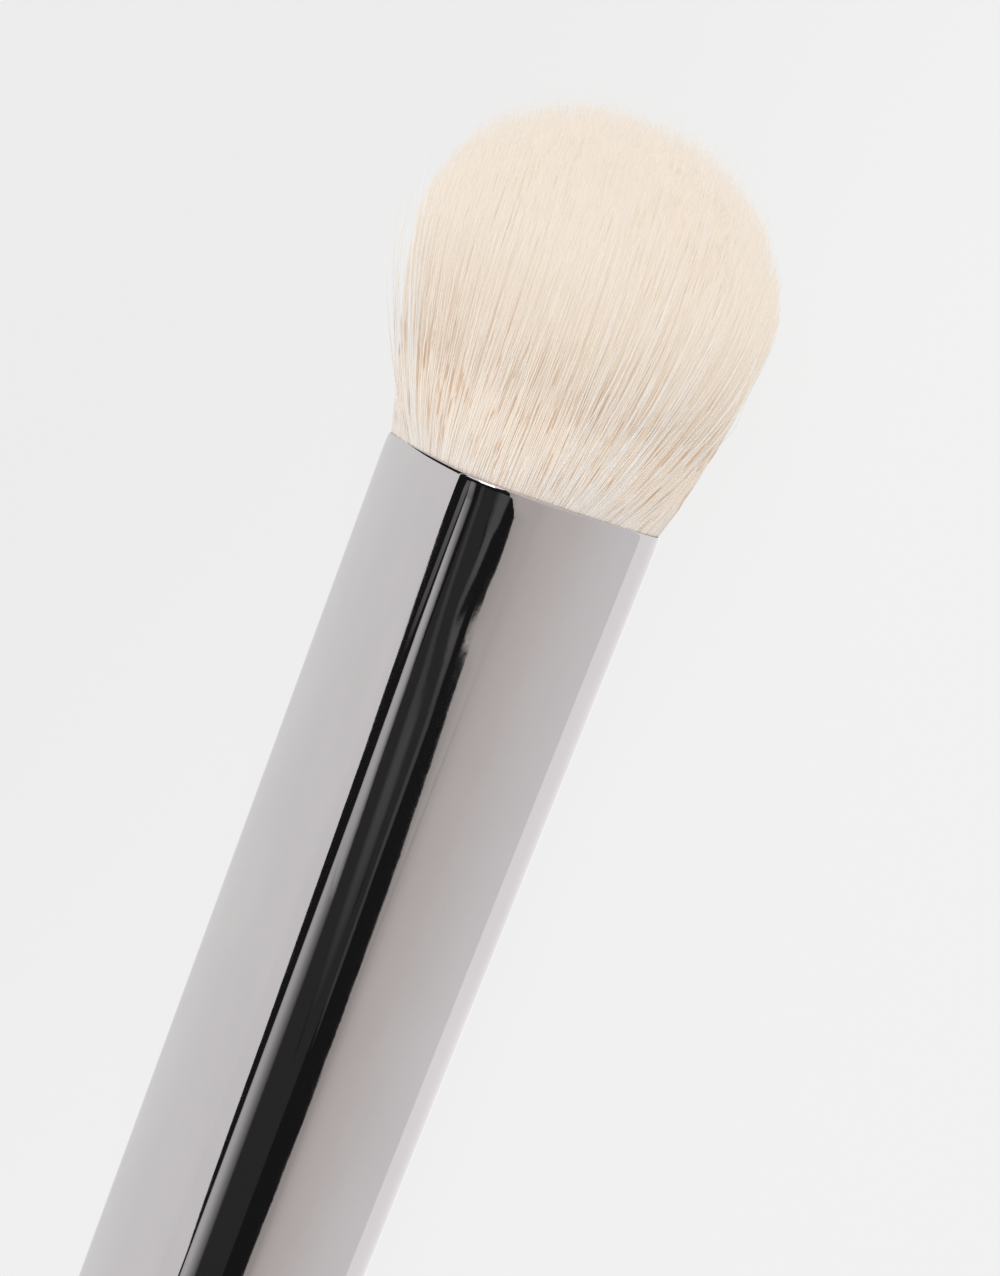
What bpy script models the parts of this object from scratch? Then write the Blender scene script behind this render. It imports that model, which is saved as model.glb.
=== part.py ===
"""Concealer brush: tapered one-piece metal handle of soft triangular section with a dense domed tuft.

The brush lies on the flat underside of its handle. +X runs along the brush from the end cap to
the tips of the bristles, +Z is up, and the origin is under the middle of the whole brush.
"""

import math

import bmesh
import bpy
from mathutils import Vector

# Handle: outside sizes at the mouth, where the bristles come out, and at the end cap
BODY_LENGTH = 0.1240
MOUTH_WIDTH = 0.0120
MOUTH_HEIGHT = 0.0106
BUTT_WIDTH = 0.0086
BUTT_HEIGHT = 0.0078
BASE_CORNER_RADIUS = 0.0023
RIDGE_CORNER_RADIUS = 0.0019
FACE_RADIUS = 0.0240
SHELL_WALL = 0.0003
RIM_ROUNDING = 0.00010

# End cap: a flange that closes the handle and a spigot that sits inside it
CAP_THICKNESS = 0.0014
CAP_ROUNDING = 0.00035
SPIGOT_LENGTH = 0.0060

# Parts inside the handle
SLUG_DIAMETER = 0.0032
SLUG_LENGTH = 0.0240
SLUG_ROUNDING = 0.0003
PAD_THICKNESS = 0.0020
CUP_LENGTH = 0.0110
CUP_SETBACK = 0.0065
CUP_WALL = 0.0003
ROOT_PLUG_LENGTH = 0.0050
FIT_GAP = 0.0003

# Bristles: length past the mouth and the dome's widest section
TUFT_LENGTH = 0.0160
TUFT_WIDTH = 0.0152
TUFT_DEPTH = 0.0118
TUFT_FLOOR_GAP = 0.0002
BELLY_LENGTH = 0.0086
DOME_POWER = 2.2
BACKING_LENGTH = 0.0025
STRAND_PITCH = 0.00048
RIM_ROW_SHARE = 0.95
TIP_GATHER = 0.07
TIP_SCATTER = 0.04
SCATTER_ACROSS = 0.618
SCATTER_UP = 0.414
STRAND_ROOT_RADIUS = 0.00015
STRAND_MOUTH_RADIUS = 0.00019
STRAND_BELLY_RADIUS = 0.000185
STRAND_TIP_RADIUS = 0.00012
STRAND_ROOT_DEPTH = 0.0006
STRAND_SIDES = 3
STRAND_RIM_GAP = 0.00015

# Facets
CORNER_STEPS = 8
FACE_STEPS = 6
ROUND_SIDES = 32
RIM_STEPS = 2

# Stations along the brush
TOTAL_LENGTH = BODY_LENGTH + TUFT_LENGTH
BUTT_X = -TOTAL_LENGTH / 2
MOUTH_X = BUTT_X + BODY_LENGTH
SHELL_REAR_X = BUTT_X + CAP_THICKNESS + FIT_GAP
SPIGOT_FRONT_X = SHELL_REAR_X + SPIGOT_LENGTH
CORE_REAR_X = SPIGOT_FRONT_X + FIT_GAP
CUP_FRONT_X = MOUTH_X - CUP_SETBACK
CUP_REAR_X = CUP_FRONT_X - CUP_LENGTH
CORE_FRONT_X = CUP_REAR_X - FIT_GAP
PLUG_REAR_X = CUP_REAR_X + CUP_WALL + FIT_GAP
PLUG_FRONT_X = PLUG_REAR_X + ROOT_PLUG_LENGTH
BACKING_REAR_X = PLUG_FRONT_X + FIT_GAP
BACKING_FRONT_X = BACKING_REAR_X + BACKING_LENGTH
SLUG_REAR_X = CORE_REAR_X + PAD_THICKNESS + FIT_GAP
BORE_FRONT_X = SLUG_REAR_X + SLUG_LENGTH + FIT_GAP

# How far each nested wall lies inside the handle's outer face
SHELL_INSIDE = SHELL_WALL
CUP_OUTSIDE = SHELL_INSIDE + FIT_GAP
CUP_INSIDE = CUP_OUTSIDE + CUP_WALL
PLUG_OUTSIDE = CUP_INSIDE + FIT_GAP
STRAND_MOUTH_INSET = SHELL_INSIDE + STRAND_RIM_GAP + STRAND_MOUTH_RADIUS
STRAND_ROOT_INSET = PLUG_OUTSIDE + STRAND_ROOT_RADIUS

# Bore of the core round the slug, on the middle of the end cap's section
BORE_RADIUS = SLUG_DIAMETER / 2 + FIT_GAP
BORE_AXIS_Z = (2 * BASE_CORNER_RADIUS + BUTT_HEIGHT - RIDGE_CORNER_RADIUS) / 3


def clear_scene():
    """Remove every object that the file opened with."""
    for obj in list(bpy.data.objects):
        bpy.data.objects.remove(obj, do_unlink=True)


def new_collection(name):
    """Make a collection in the scene and return it."""
    collection = bpy.data.collections.new(name)
    bpy.context.scene.collection.children.link(collection)
    return collection


def make_material(name, color, metallic, roughness):
    """Make a Principled material with one colour."""
    material = bpy.data.materials.new(name)
    material.use_nodes = True
    shader = material.node_tree.nodes["Principled BSDF"]
    shader.inputs["Base Color"].default_value = (*color, 1.0)
    shader.inputs["Metallic"].default_value = metallic
    shader.inputs["Roughness"].default_value = roughness
    material.diffuse_color = (*color, 1.0)
    return material


def add_object(name, bm, collection, material=None):
    """Turn a bmesh into a named object with outward normals and smooth round faces."""
    bmesh.ops.recalc_face_normals(bm, faces=bm.faces)
    mesh = bpy.data.meshes.new(name)
    bm.to_mesh(mesh)
    bm.free()
    mesh.shade_smooth()
    mesh.set_sharp_from_angle(angle=math.radians(35))
    obj = bpy.data.objects.new(name, mesh)
    collection.objects.link(obj)
    if material:
        mesh.materials.append(material)
    return obj


def arc(center, radius, start, end, steps):
    """Points of an arc in the YZ plane, both ends included."""
    angles = (start + (end - start) * step / steps for step in range(steps + 1))
    return [(center[0] + radius * math.cos(a), center[1] + radius * math.sin(a)) for a in angles]


def corner_centers(x):
    """Centres of the base corner and of the ridge corner on the +Y side at station x."""
    share = (x - BUTT_X) / BODY_LENGTH
    width = BUTT_WIDTH + (MOUTH_WIDTH - BUTT_WIDTH) * share
    height = BUTT_HEIGHT + (MOUTH_HEIGHT - BUTT_HEIGHT) * share
    base = Vector((width / 2 - BASE_CORNER_RADIUS, BASE_CORNER_RADIUS))
    ridge = Vector((0.0, height - RIDGE_CORNER_RADIUS))
    return base, ridge


def face_center(base, ridge):
    """Centre of the shallow arc that runs smoothly into both corner arcs."""
    span = (ridge - base).length
    to_base = FACE_RADIUS - BASE_CORNER_RADIUS
    to_ridge = FACE_RADIUS - RIDGE_CORNER_RADIUS
    along = (to_base**2 - to_ridge**2 + span**2) / (2 * span)
    inward = math.sqrt(to_base**2 - along**2)
    direction = (ridge - base) / span
    outward = Vector((direction.y, -direction.x))
    return base + direction * along - outward * inward


def section(x, inset=0.0):
    """Outline of the handle at station x, moved inwards by inset, as (y, z) points.

    It starts at the underside on the +Y side and runs up over the ridge to the -Y side.
    """
    base, ridge = corner_centers(x)
    middle = face_center(base, ridge)
    at_base = math.atan2(base.y - middle.y, base.x - middle.x)
    at_ridge = math.atan2(ridge.y - middle.y, ridge.x - middle.x)
    half = arc(base, BASE_CORNER_RADIUS - inset, -math.pi / 2, at_base, CORNER_STEPS)
    half += arc(middle, FACE_RADIUS - inset, at_base, at_ridge, FACE_STEPS)[1:]
    half += arc(ridge, RIDGE_CORNER_RADIUS - inset, at_ridge, math.pi / 2, CORNER_STEPS // 2)[1:]
    return half + [(-y, z) for y, z in reversed(half[:-1])]


def loft(stations, close_rear=True, close_front=True):
    """Skin through section outlines given as (x, inset) pairs, with flat ends where asked."""
    bm = bmesh.new()
    rings = [[bm.verts.new((x, y, z)) for y, z in section(x, inset)] for x, inset in stations]
    count = len(rings[0])
    for rear, front in zip(rings, rings[1:]):
        for i in range(count):
            j = (i + 1) % count
            bm.faces.new((rear[i], rear[j], front[j], front[i]))
    if close_rear:
        bm.faces.new(rings[0])
    if close_front:
        bm.faces.new(rings[-1])
    return bm


def add_bevel(obj, width, segments):
    """Round the sharp edges of an object."""
    bevel = obj.modifiers.new("rounding", "BEVEL")
    bevel.width = width
    bevel.segments = segments
    bevel.limit_method = "ANGLE"
    bevel.angle_limit = math.radians(60)
    return bevel


def add_wall(obj, thickness):
    """Give an open skin its wall, on the inner side."""
    wall = obj.modifiers.new("wall", "SOLIDIFY")
    wall.thickness = thickness
    wall.offset = -1
    wall.use_even_offset = True
    return wall


def add_rod(name, rear_x, front_x, radius, collection, material=None):
    """Round rod along X on the bore's axis."""
    bm = bmesh.new()
    bmesh.ops.create_cone(bm, cap_ends=True, segments=ROUND_SIDES, radius1=radius, radius2=radius,
                          depth=front_x - rear_x)
    obj = add_object(name, bm, collection, material)
    obj.rotation_euler = (0, math.pi / 2, 0)
    obj.location = ((rear_x + front_x) / 2, 0, BORE_AXIS_Z)
    return obj


def make_handle_shell(parts, metal):
    """Metal body: a tapered tube, open at both ends, with a rounded rim at the mouth."""
    bm = loft([(SHELL_REAR_X, 0), (MOUTH_X, 0)], close_rear=False, close_front=False)
    shell = add_object("handle_shell", bm, parts, metal)
    add_wall(shell, SHELL_WALL)
    add_bevel(shell, RIM_ROUNDING, RIM_STEPS)
    return shell


def make_end_cap(parts, metal):
    """Flange that carries on the handle's taper, with its spigot inside the shell."""
    flange_front_x = BUTT_X + CAP_THICKNESS
    stations = [(BUTT_X, 0), (flange_front_x, 0), (flange_front_x, CUP_OUTSIDE), (SPIGOT_FRONT_X, CUP_OUTSIDE)]
    cap = add_object("end_cap", loft(stations), parts, metal)
    add_bevel(cap, CAP_ROUNDING, RIM_STEPS)
    return cap


def make_handle_core(parts, cutters, plastic):
    """Moulded core that fills the handle, bored from the rear for the slug."""
    core = add_object("handle_core", loft([(CORE_REAR_X, CUP_OUTSIDE), (CORE_FRONT_X, CUP_OUTSIDE)]), parts, plastic)
    cutter = add_rod("slug_bore_cutter", CORE_REAR_X - FIT_GAP, BORE_FRONT_X, BORE_RADIUS, cutters)
    cutter.hide_render = True
    cutter.display_type = "WIRE"
    bore = core.modifiers.new("slug_bore", "BOOLEAN")
    bore.operation = "DIFFERENCE"
    bore.object = cutter
    return core


def make_balance_parts(parts, steel, foam):
    """Steel slug that weights the handle's end, and the foam pad that stops it rattling."""
    slug = add_rod("balance_slug", SLUG_REAR_X, SLUG_REAR_X + SLUG_LENGTH, SLUG_DIAMETER / 2, parts, steel)
    add_bevel(slug, SLUG_ROUNDING, RIM_STEPS)
    add_rod("slug_pad", CORE_REAR_X, CORE_REAR_X + PAD_THICKNESS, SLUG_DIAMETER / 2, parts, foam)


def make_tuft_cup(parts, aluminium):
    """Thin cup, open to the front, in which the bristles are set before it goes in the handle."""
    bm = loft([(CUP_REAR_X, CUP_OUTSIDE), (CUP_FRONT_X, CUP_OUTSIDE)], close_front=False)
    cup = add_object("tuft_cup", bm, parts, aluminium)
    add_wall(cup, CUP_WALL)
    return cup


def make_root_plug(parts, resin):
    """Block of cured resin that bonds the bristles' roots into the cup."""
    return add_object("root_plug", loft([(PLUG_REAR_X, PLUG_OUTSIDE), (PLUG_FRONT_X, PLUG_OUTSIDE)]), parts, resin)


def outline_reach(outline, center, angle):
    """Distance from the centre to a convex outline in one direction."""
    ray = Vector((math.cos(angle), math.sin(angle)))
    for i, point in enumerate(outline):
        a = Vector(point) - center
        b = Vector(outline[(i + 1) % len(outline)]) - center
        edge = b - a
        cross = ray.x * edge.y - ray.y * edge.x
        if abs(cross) < 1e-15:
            continue
        reach = (a.x * edge.y - a.y * edge.x) / cross
        share = (a.x * ray.y - a.y * ray.x) / cross
        if reach > 0 and -1e-9 <= share <= 1 + 1e-9:
            return reach
    return 0.0


def section_middle(x):
    """Middle of the handle's three corner centres at station x."""
    base, ridge = corner_centers(x)
    return Vector((0.0, (2 * base.y + ridge.y) / 3))


def dome_reach(angle):
    """Half size of the tuft's widest section in one direction."""
    half_width = TUFT_WIDTH / 2 - STRAND_BELLY_RADIUS
    half_depth = TUFT_DEPTH / 2 - STRAND_BELLY_RADIUS
    return 1 / math.hypot(math.cos(angle) / half_width, math.sin(angle) / half_depth)


def dome_length(spread):
    """Length past the mouth of a strand that ends at this share of the widest section."""
    rise = (1 - spread**DOME_POWER) ** (1 / DOME_POWER)
    return BELLY_LENGTH + (TUFT_LENGTH - BELLY_LENGTH) * rise


def rim_spots(outline, pitch):
    """Evenly spaced points along a closed outline, alike on both sides of its middle."""
    closed = [Vector(point) for point in outline] + [Vector(outline[0])]
    steps = [(b - a).length for a, b in zip(closed, closed[1:])]
    total = sum(steps)
    count = round(total / pitch)
    spots = []
    for number in range(count):
        travel = ((number + 0.5) / count * total - steps[-1] / 2) % total
        index = 0
        while travel > steps[index]:
            travel -= steps[index]
            index += 1
        spots.append(closed[index].lerp(closed[index + 1], travel / steps[index]))
    return spots


def grid_spots(outline, middle, pitch):
    """Points of a triangular grid about the middle, as far as the outline reaches."""
    row_step = pitch * math.sqrt(3) / 2
    rows = math.ceil(MOUTH_HEIGHT / row_step)
    columns = math.ceil(MOUTH_WIDTH / pitch)
    spots = []
    for row in range(-rows, rows + 1):
        for column in range(-columns, columns + 1):
            offset = Vector(((column + 0.5 * (row % 2)) * pitch, row * row_step))
            angle = math.atan2(offset.y, offset.x)
            if offset.length <= outline_reach(outline, middle, angle):
                spots.append(middle + offset)
    return spots


def scatter(spot):
    """Share from 0 to 1 that differs between neighbours and is alike on both sides."""
    return (abs(spot.x) / STRAND_PITCH * SCATTER_ACROSS + spot.y / STRAND_PITCH * SCATTER_UP) % 1.0


def strand_routes():
    """Route of each strand, as its root, mouth, belly and tip, each with its radius.

    The strands stand in the mouth in one row along its wall and on a grid within. Each keeps its
    direction from the middle, and its share of the reach that way, from root to tip, so none cross.
    """
    mouth = section(MOUTH_X, STRAND_MOUTH_INSET)
    within = section(MOUTH_X, STRAND_MOUTH_INSET + STRAND_PITCH * RIM_ROW_SHARE)
    root = section(BACKING_FRONT_X, STRAND_ROOT_INSET)
    mouth_middle = section_middle(MOUTH_X)
    root_middle = section_middle(BACKING_FRONT_X)
    dome_middle = Vector((0.0, TUFT_FLOOR_GAP + TUFT_DEPTH / 2))
    routes = []
    for at_mouth in rim_spots(mouth, STRAND_PITCH) + grid_spots(within, mouth_middle, STRAND_PITCH):
        offset = at_mouth - mouth_middle
        angle = math.atan2(offset.y, offset.x)
        ray = Vector((math.cos(angle), math.sin(angle)))
        spread = offset.length / outline_reach(mouth, mouth_middle, angle)
        tip_spread = spread * (1 - TIP_GATHER - TIP_SCATTER * scatter(at_mouth))
        at_root = root_middle + ray * spread * outline_reach(root, root_middle, angle)
        at_belly = dome_middle + ray * spread * dome_reach(angle)
        at_tip = dome_middle + ray * tip_spread * dome_reach(angle)
        routes.append([
            (BACKING_FRONT_X - STRAND_ROOT_DEPTH, *at_root, STRAND_ROOT_RADIUS),
            (MOUTH_X, *at_mouth, STRAND_MOUTH_RADIUS),
            (MOUTH_X + BELLY_LENGTH, *at_belly, STRAND_BELLY_RADIUS),
            (MOUTH_X + dome_length(tip_spread), *at_tip, STRAND_TIP_RADIUS),
        ])
    return routes


def make_strand_mesh(routes, cutters):
    """One mesh of all the strands, swept along their routes by a curve with a small profile."""
    profile = bpy.data.curves.new("strand_profile", "CURVE")
    profile.dimensions = "2D"
    side = profile.splines.new("POLY")
    side.points.add(STRAND_SIDES - 1)
    side.use_cyclic_u = True
    for i, point in enumerate(side.points):
        angle = 2 * math.pi * i / STRAND_SIDES
        point.co = (math.cos(angle), math.sin(angle), 0, 1)
    profile_object = bpy.data.objects.new("strand_profile", profile)
    cutters.objects.link(profile_object)

    curve = bpy.data.curves.new("strands", "CURVE")
    curve.dimensions = "3D"
    curve.bevel_mode = "OBJECT"
    curve.bevel_object = profile_object
    curve.use_fill_caps = True
    for route in routes:
        spline = curve.splines.new("POLY")
        spline.points.add(len(route) - 1)
        for point, (x, y, z, radius) in zip(spline.points, route):
            point.co = (x, y, z, 1)
            point.radius = radius
    curve_object = bpy.data.objects.new("strands", curve)
    cutters.objects.link(curve_object)

    depsgraph = bpy.context.evaluated_depsgraph_get()
    mesh = bpy.data.meshes.new_from_object(curve_object.evaluated_get(depsgraph))
    bm = bmesh.new()
    bm.from_mesh(mesh)
    bmesh.ops.remove_doubles(bm, verts=bm.verts, dist=1e-6)
    strands = add_object("strand_bundle", bm, cutters)
    strands.matrix_world = curve_object.matrix_world
    strands.hide_render = True
    strands.display_type = "WIRE"
    bpy.data.objects.remove(curve_object)
    bpy.data.objects.remove(profile_object)
    return strands


def make_bristle_tuft(parts, cutters, fibre):
    """Strands fused to a slice of the resin that holds them."""
    stations = [(BACKING_REAR_X, PLUG_OUTSIDE), (BACKING_FRONT_X, PLUG_OUTSIDE)]
    tuft = add_object("bristle_tuft", loft(stations), parts, fibre)
    routes = strand_routes()
    strands = make_strand_mesh(routes, cutters)
    join = tuft.modifiers.new("strands", "BOOLEAN")
    join.operation = "UNION"
    join.object = strands
    print("strands:", len(routes))
    return tuft


def build():
    """Build the whole brush."""
    clear_scene()
    parts = new_collection("concealer_brush")
    cutters = new_collection("cutters")
    metal = make_material("polished_gunmetal", (0.63, 0.60, 0.61), 1.0, 0.08)
    aluminium = make_material("plain_aluminium", (0.78, 0.78, 0.79), 1.0, 0.35)
    steel = make_material("turned_steel", (0.55, 0.55, 0.56), 1.0, 0.3)
    plastic = make_material("core_plastic", (0.16, 0.16, 0.17), 0.0, 0.55)
    foam = make_material("pad_foam", (0.08, 0.08, 0.08), 0.0, 0.9)
    resin = make_material("amber_resin", (0.62, 0.47, 0.26), 0.0, 0.25)
    fibre = make_material("cream_fibre", (0.86, 0.74, 0.61), 0.0, 0.6)

    make_handle_shell(parts, metal)
    make_end_cap(parts, metal)
    make_handle_core(parts, cutters, plastic)
    make_balance_parts(parts, steel, foam)
    make_tuft_cup(parts, aluminium)
    make_root_plug(parts, resin)
    make_bristle_tuft(parts, cutters, fibre)


build()
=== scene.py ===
"""Looks of the concealer brush: polished gunmetal handle, resin-set tuft of fine cream bristles.

The brush lies along X on the floor, its tuft towards +X. Lengths are metres, and a share runs
from 0 to 1.
"""

import math

import bpy
import numpy as np
from mathutils import Matrix, Vector


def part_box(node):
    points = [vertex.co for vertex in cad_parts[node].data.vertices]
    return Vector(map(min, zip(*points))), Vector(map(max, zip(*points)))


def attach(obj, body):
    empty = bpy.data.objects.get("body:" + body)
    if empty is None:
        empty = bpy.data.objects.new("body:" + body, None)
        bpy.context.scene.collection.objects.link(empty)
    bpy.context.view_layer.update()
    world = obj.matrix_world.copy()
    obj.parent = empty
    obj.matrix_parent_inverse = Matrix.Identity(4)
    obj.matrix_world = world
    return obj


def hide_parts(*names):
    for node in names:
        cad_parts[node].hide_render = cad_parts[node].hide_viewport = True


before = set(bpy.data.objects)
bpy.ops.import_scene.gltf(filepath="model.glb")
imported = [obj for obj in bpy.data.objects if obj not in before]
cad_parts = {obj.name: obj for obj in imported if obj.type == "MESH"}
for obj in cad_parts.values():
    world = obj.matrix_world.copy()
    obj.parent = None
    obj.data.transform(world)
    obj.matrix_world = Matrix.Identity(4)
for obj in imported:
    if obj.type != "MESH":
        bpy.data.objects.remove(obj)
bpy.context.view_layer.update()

# Handle, as in the solids
shell_low, shell_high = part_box("handle_shell")
cap_low, cap_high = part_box("end_cap")
tuft_low, tuft_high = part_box("bristle_tuft")
MOUTH_X = shell_high.x
SHELL_REAR_X = shell_low.x
BUTT_X = cap_low.x
SPIGOT_FRONT_X = cap_high.x
MOUTH_WIDTH = 0.0120
MOUTH_HEIGHT = 0.0106
BUTT_WIDTH = 0.0086
BUTT_HEIGHT = 0.0078
BASE_CORNER_RADIUS = 0.0023
RIDGE_CORNER_RADIUS = 0.0019
FACE_RADIUS = 0.0240
SHELL_WALL = 0.0003
CAP_THICKNESS = 0.0014
CAP_ROUNDING = 0.00035
SPIGOT_INSET = 0.0006

# Steps along the handle and round its outline, fine enough for mirror reflections, and the
# angles from which edges are crisp or rounded
SHELL_STATIONS = 15
CORNER_STEPS = 22
FACE_STEPS = 22
CRISP_ANGLE = math.radians(40)
CORE_CRISP_ANGLE = math.radians(80)
CAP_ROUNDING_ANGLE = math.radians(60)
CAP_ROUNDING_STEPS = 5

# Lip of the mouth: the wall leans in just before the rim and rolls over, most at the ridge. It
# thins towards the mouth.
LIP_LENGTH = 0.0009
LIP_INSET = 0.000029
LIP_STEPS = 8
ROLL_LENGTH = 0.00017
ROLL_INSET = 0.00003
RIDGE_ROLL_INSET = 0.00019
ROLL_STEPS = 9
ROLL_REACH = 0.0052
INWARD_STEP = 0.001
MOUTH_SLANT = 0.00020
MOUTH_WALL = 0.00010
FLARE_LENGTH = 0.0040

# Tuft
BACKING_REAR_X = tuft_low.x
BACKING_LENGTH = 0.0025
BACKING_FRONT_X = BACKING_REAR_X + BACKING_LENGTH
BACKING_INSET = 0.0012
ROOT_DEPTH = 0.0006
TUFT_LENGTH = tuft_high.x - MOUTH_X
TUFT_WIDTH = 0.0152
TUFT_DEPTH = 0.0118
TUFT_FLOOR_GAP = 0.0002
BELLY_LENGTH = 0.0086
DOME_POWER = 2.2
SWELL_LENGTH = 0.0098
SWELL_POWER = 1.65
BOW = 0.00035
BOW_LENGTH = 0.0145
TIP_ALLOWANCE = 0.00055
OVERHANG = 0.00012
OVERHANG_LENGTH = 0.00030
OVERHANG_POWER = 6
FLOOR_CLEARANCE = 0.00006
RIM_GAP = 0.00002
OUTLINE_PARTS = 12

# Packed core of the tuft, with its shares of the tuft's own reach
CORE_DEPTH = 0.0009
CORE_SIDES = 72
CORE_SHARE = 0.87
CORE_ROOT_SHARES = (0.15, 0.6, CORE_SHARE)
CORE_TIP_SHARE = 0.02
CORE_DOME_SHARE = 0.97
CORE_SIDE_RINGS = 6
CORE_DOME_RINGS = 16

# Bristles: their grid in the mouth, thickness and bends
BRISTLE_SEED = 12
BRISTLE_PITCH = 0.000072
BRISTLE_JITTER = 0.42
BRISTLE_RADIUS = 0.000038
BRISTLE_TIP_RADIUS = 0.000006
BRISTLE_SIDES = 3
BRISTLE_PARTS = 7
BRISTLE_THICKNESS = (1, 1, 1, 1, 0.97, 0.90, 0.74, 0.48, 0)
RADIUS_RANGE = (0.85, 1.15)
BRISTLE_WAVER = 0.000027
WAVER_PACE = 2
TILT_CHANGE = 0.013
TILT_HELD_IN = 0.8
TILT_POWER = 4
INNER_SHARE = 0.74

# Locks that sway together: how far, over what size, and the seed. They sway more on the right.
LOCKS = ((0.00003, 0.0011, 5), (0.000008, 0.00035, 7))
LOCK_WAVES = 6
LOCK_WAVE_RANGE = (0.7, 1.5)
LOCK_WAVE_HEIGHT = 3.5
SWAY_PACE = 1.1
RIGHT_SWAY = 0.9
RIGHT_SWAY_PACE = 1.3
RIGHT_SWAY_START = 0.2

# Lengths: most bristles end near the dome, some short of it and a few past it
DOME_EDGE_SHARE = 0.985
LENGTH_CHANGE = 0.018
SHORT_SHARE = 0.15
SHORT_RANGE = (0.82, 0.99)
FRINGE_SEED = 44
FRINGE_SHARE = 0.12
FRINGE_RANGE = (1.0, 1.035)

# Loose bristles
STRAY_SEED = 31
STRAY_WAVER = 0.000006
STRAY_REACH = 0.0079
STRAY_TOP = 0.01225
STRAY_SHARE_RANGE = (0.985, 1.0)
STRAY_LIFT_RANGE = (0.4, 1.0)
STRAY_TONE_RANGE = (0.7, 1.0)

# Flat layout of one bristle in a unit square: its sides in a row, its tip above them
SIDE_START = 0.05
SIDE_LENGTH = 0.85
SIDE_MARGIN = 0.1
SIDE_WIDTH = 0.8
TIP_SPOT = (0.5, 0.95)
TIP_SIZE = 0.02

# Finish of each worn material:
# colour, mottling, roughness, its change, grain size, stretch, bump height, metallic
FINISHES = {
    "polished_gunmetal": ((0.653, 0.623, 0.630), 0.016, 0.028, 0.008, 0.00030, 0.5, 0.00000030, 1.0),
    "amber_resin": ((0.62, 0.47, 0.26), 0.12, 0.25, 0.08, 0.0008, 1.0, 0.000004, 0.0),
    "packed_fibre": ((0.91, 0.80, 0.68), 0.08, 0.7, 0.1, 0.00012, 0.05, 0.00001, 0.0),
    "handle_core_look": ((0.045, 0.045, 0.048), 0.10, 0.55, 0.08, 0.0006, 1.0, 0.000004, 0.0),
    "balance_slug_look": ((0.36, 0.35, 0.34), 0.08, 0.38, 0.08, 0.0005, 8.0, 0.000003, 1.0),
    "slug_pad_look": ((0.030, 0.030, 0.032), 0.12, 0.80, 0.06, 0.0004, 1.0, 0.000008, 0.0),
    "tuft_cup_look": ((0.78, 0.78, 0.80), 0.05, 0.30, 0.06, 0.0005, 6.0, 0.000002, 1.0),
    "root_plug_look": ((0.62, 0.47, 0.26), 0.12, 0.25, 0.08, 0.0008, 1.0, 0.000004, 0.0),
}
NOISE_RANGE = (0.3, 0.7)
BROAD_SCALE = 0.12
FINE_SHARE = 0.4

# Colours of the fibre, and the share of them that it gives off as light: a painted glow in place of light
# coming through the fibre
FIBRE_ROOT_COLOR = (0.94, 0.88, 0.82)
FIBRE_TIP_COLOR = (0.935, 0.845, 0.745)
# Loose bristles: paler, partly their own colour and partly a painted highlight
PALE_HIGHLIGHT_ROOT_COLOR = (0.92, 0.875, 0.825)
PALE_HIGHLIGHT_TIP_COLOR = (0.96, 0.93, 0.89)
WARM_GLOW = (1.09, 1.005, 0.895)
WHITE = (1.0, 1.0, 1.0)
# Painted warm shade of the gaps between fibres, laid as short stretches on single fibres low down
GAP_SHADE_TINT = (0.78, 0.585, 0.43)
GAP_SHADE_STRETCHES = 5.0
GAP_SHADE_NOISE = (0.585, 0.64)
GAP_SHADE_AT_RIM = 0.35
# Painted shadow on the bristles just where they leave the mouth
PAINTED_RIM_SHADOW = 0.30
# Painted glow in place of light coming through the fibre; the base colour keeps the matt share
GLOW_AT_ROOT = 0.28
GLOW_AT_TIP = 0.59
MATT_AT_ROOT = 0.80
MATT_AT_TIP = 0.42
WARMTH_AT_RIM = 0.2
TIP_EVENNESS = 5
FIBRE_ROUGHNESS = 0.5
FIBRE_SHINE = 0.35

# Where along a fibre its looks change, from its root at 0 to its tip at 1
AT_MOUTH = 1 / (BRISTLE_PARTS + 1)
PAINTED_RIM_SHADOW_END = AT_MOUTH + 0.010
GAP_SHADE_START_END = 0.27
GAP_SHADE_FADE = (0.46, 0.78)
TONE_FADE = (0.3, 0.9)
MATT_FADE = (0.4, 0.9)
GLOW_RISE = (0.52, 0.95)
WARMTH_RISE_END = 0.32
WARMTH_FADE = (0.5, 1.0)

# Spread of the fibres over the noise of the painted warm shade of the gaps
TONE_SPREAD_ACROSS = 997
TONE_SPREAD_ALONG = 613

# Photograph: the mouth's place in the frame and the brush's lean there
FRAME_WIDTH = 1000
FRAME_HEIGHT = 1276
PIXELS_PER_METRE = 24600
MOUTH_PIXEL = (524, 486)
AXIS_LEAN = math.radians(21)
CAMERA_DISTANCE = 0.42
CAMERA_TOWARDS_TIP = math.radians(4.7)
CAMERA_TOWARDS_RIGHT = math.radians(9.8)
SENSOR_WIDTH = 36
NEAREST_SEEN = 0.01
FARTHEST_SEEN = 50

# Floor, as the camera sees it: glow at the picture's upper left and lower right
FLOOR_SIZE = 8
FLOOR_DROP = 0.0001
FLOOR_COLOR = (0.85, 0.85, 0.85)
FLOOR_GLOW = (0.840, 0.884)
FLOOR_GLOW_RISE = (0.3, 1.25)
MOUTH_IN_PICTURE = (0.5, 0.38)
FLOOR_SHADOW_SHARE = 0.06

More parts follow.
